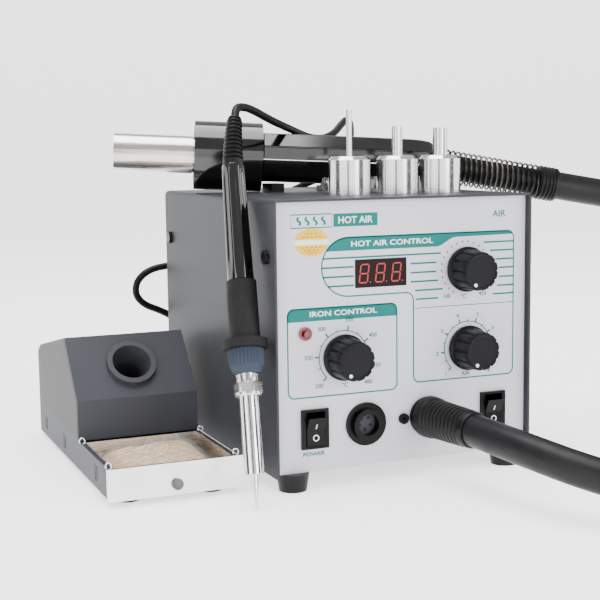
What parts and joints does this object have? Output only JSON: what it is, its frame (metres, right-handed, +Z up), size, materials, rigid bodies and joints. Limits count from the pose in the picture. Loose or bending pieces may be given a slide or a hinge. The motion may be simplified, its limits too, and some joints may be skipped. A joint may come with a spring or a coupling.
{
  "type": "hot air station",
  "caption": "Bench soldering and hot air station: cased controls with knobs and rockers, air gun on a hose, loose nozzles, corded iron and a sponge stand.",
  "frame": {"origin": "middle of the underside of the case's front left foot, on the bench", "axes": "+X to the right of the front panel, +Y to the rear of the case, +Z up"},
  "size_m": [0.4894, 0.4379, 0.2044],
  "materials": {
    "cover_paint": "textured",
    "case_steel": "satin",
    "panel_paint": "fine textured",
    "black_rubber": "matte",
    "black_steel": "satin",
    "display_window": "gloss",
    "red_lamp": "gloss",
    "knob_plastic": "satin",
    "switch_plastic": "satin",
    "bright_steel": "brushed",
    "socket_black": "satin",
    "board_green": "matte",
    "core_steel": "matte",
    "pump_casting": "cast",
    "heater_pipe": "brushed",
    "ceramic": "matte",
    "gun_plastic": "gloss",
    "nozzle_steel": "polished",
    "clamp_screw": "polished",
    "tip_plating": "polished",
    "collar_plastic": "satin",
    "handle_plastic": "satin",
    "stand_paint": "fine textured",
    "holder_enamel": "satin",
    "tray_steel": "brushed",
    "sponge": "cellulose",
    "hose_rubber": "corrugated",
    "cord_rubber": "matte"
  },
  "bodies": {
    "root": {"top_cover": "cover_paint", "bottom_tray": "case_steel", "front_panel": "panel_paint", "rear_panel": "case_steel", "rubber_feet": "black_rubber", "cover_screws": "black_steel", "display_window": "display_window", "heater_lamp": "red_lamp", "potentiometers": "bright_steel", "power_switch_frame": "switch_plastic", "air_switch_frame": "switch_plastic", "iron_socket": "socket_black", "iron_socket_insert": "socket_black", "earth_screw": "black_steel", "hose_gland": "socket_black", "front_boot": "black_rubber", "control_board": "board_green", "transformer": "core_steel", "air_pump": "pump_casting", "air_duct": "black_rubber", "mains_inlet": "switch_plastic", "gun_rests": "black_rubber", "air_hose": "hose_rubber", "iron_cord": "cord_rubber", "iron_cord_coil": "cord_rubber", "iron_plug": "socket_black"},
    "air_temp_dial": {"air_temp_knob": "knob_plastic", "air_temp_shaft": "bright_steel"},
    "air_flow_dial": {"air_flow_knob": "knob_plastic", "air_flow_shaft": "bright_steel"},
    "iron_temp_dial": {"iron_temp_knob": "knob_plastic", "iron_temp_shaft": "bright_steel"},
    "power_key": {"power_rocker": "switch_plastic"},
    "air_key": {"air_rocker": "switch_plastic"},
    "gun": {"heater_pipe": "heater_pipe", "gun_heater_core": "ceramic", "guard_collar": "gun_plastic", "gun_upper_shell": "gun_plastic", "gun_lower_shell": "gun_plastic", "gun_hose_boot": "black_rubber"},
    "small_nozzle": {"nozzle_small": "nozzle_steel"},
    "medium_nozzle": {"nozzle_medium": "nozzle_steel"},
    "large_nozzle": {"nozzle_large": "nozzle_steel"},
    "small_clamp": {"nozzle_screw_small": "clamp_screw"},
    "medium_clamp": {"nozzle_screw_medium": "clamp_screw"},
    "large_clamp": {"nozzle_screw_large": "clamp_screw"},
    "iron": {"iron_tip": "tip_plating", "iron_sleeve": "bright_steel", "iron_collar": "collar_plastic", "iron_grip": "black_rubber", "iron_handle": "handle_plastic", "iron_boot": "black_rubber"},
    "barrel_nut": {"iron_nut": "bright_steel"},
    "stand": {"stand_base": "stand_paint", "stand_housing": "stand_paint", "stand_holder": "holder_enamel", "sponge_tray": "tray_steel", "tray_screw": "black_steel", "stand_pads": "black_rubber"},
    "sponge": {"sponge": "sponge"}
  },
  "joints": [
    {"name": "air_temp_turn", "type": "hinge", "parent": "root", "child": "air_temp_dial", "pos_m": [0.1002, -0.0119, 0.1102], "axis": [0, 1, 0], "range_deg": [0, 300]},
    {"name": "air_flow_turn", "type": "hinge", "parent": "root", "child": "air_flow_dial", "pos_m": [0.1014, -0.0119, 0.0676], "axis": [0, 1, 0], "range_deg": [0, 300]},
    {"name": "iron_temp_turn", "type": "hinge", "parent": "root", "child": "iron_temp_dial", "pos_m": [0.0278, -0.0119, 0.068], "axis": [0, 1, 0], "range_deg": [0, 300]},
    {"name": "power_switch", "type": "hinge", "parent": "root", "child": "power_key", "pos_m": [0.0108, -0.0015, 0.032], "axis": [-1, 0, 0], "range_deg": [0, 20]},
    {"name": "air_switch", "type": "hinge", "parent": "root", "child": "air_key", "pos_m": [0.1168, -0.0015, 0.032], "axis": [-1, 0, 0], "range_deg": [0, 20]},
    {"name": "gun_draw", "type": "slide", "parent": "root", "child": "gun", "axis": [-0.9551, 0.292, 0.0501], "range_m": [0, 0.02]},
    {"name": "small_nozzle_lift", "type": "slide", "parent": "root", "child": "small_nozzle", "axis": [0, 0, 1], "range_m": [0, 0.05]},
    {"name": "small_clamp_turn", "type": "hinge", "parent": "small_nozzle", "child": "small_clamp", "pos_m": [0.04587, 0.05411, 0.155], "axis": [0.866, 0.5, 0], "continuous": true},
    {"name": "medium_nozzle_lift", "type": "slide", "parent": "root", "child": "medium_nozzle", "axis": [0, 0, 1], "range_m": [0, 0.05]},
    {"name": "medium_clamp_turn", "type": "hinge", "parent": "medium_nozzle", "child": "medium_clamp", "pos_m": [0.07537, 0.05411, 0.155], "axis": [0.866, 0.5, 0], "continuous": true},
    {"name": "large_nozzle_lift", "type": "slide", "parent": "root", "child": "large_nozzle", "axis": [0, 0, 1], "range_m": [0, 0.05]},
    {"name": "large_clamp_turn", "type": "hinge", "parent": "large_nozzle", "child": "large_clamp", "pos_m": [0.10088, 0.05111, 0.155], "axis": [0.866, 0.5, 0], "continuous": true},
    {"name": "iron_draw", "type": "slide", "parent": "root", "child": "iron", "axis": [0, -1, 0], "range_m": [0, 0.06]},
    {"name": "barrel_nut_turn", "type": "hinge", "parent": "iron", "child": "barrel_nut", "pos_m": [-0.02607, -0.00661, 0.05822], "axis": [0.0704, 0.338, 0.9385], "continuous": true},
    {"name": "stand_slide", "type": "slide", "parent": "root", "child": "stand", "axis": [-1, 0, 0], "range_m": [0, 0.08]},
    {"name": "sponge_lift", "type": "slide", "parent": "stand", "child": "sponge", "axis": [0, 0, 1], "range_m": [0, 0.03]}
  ]
}
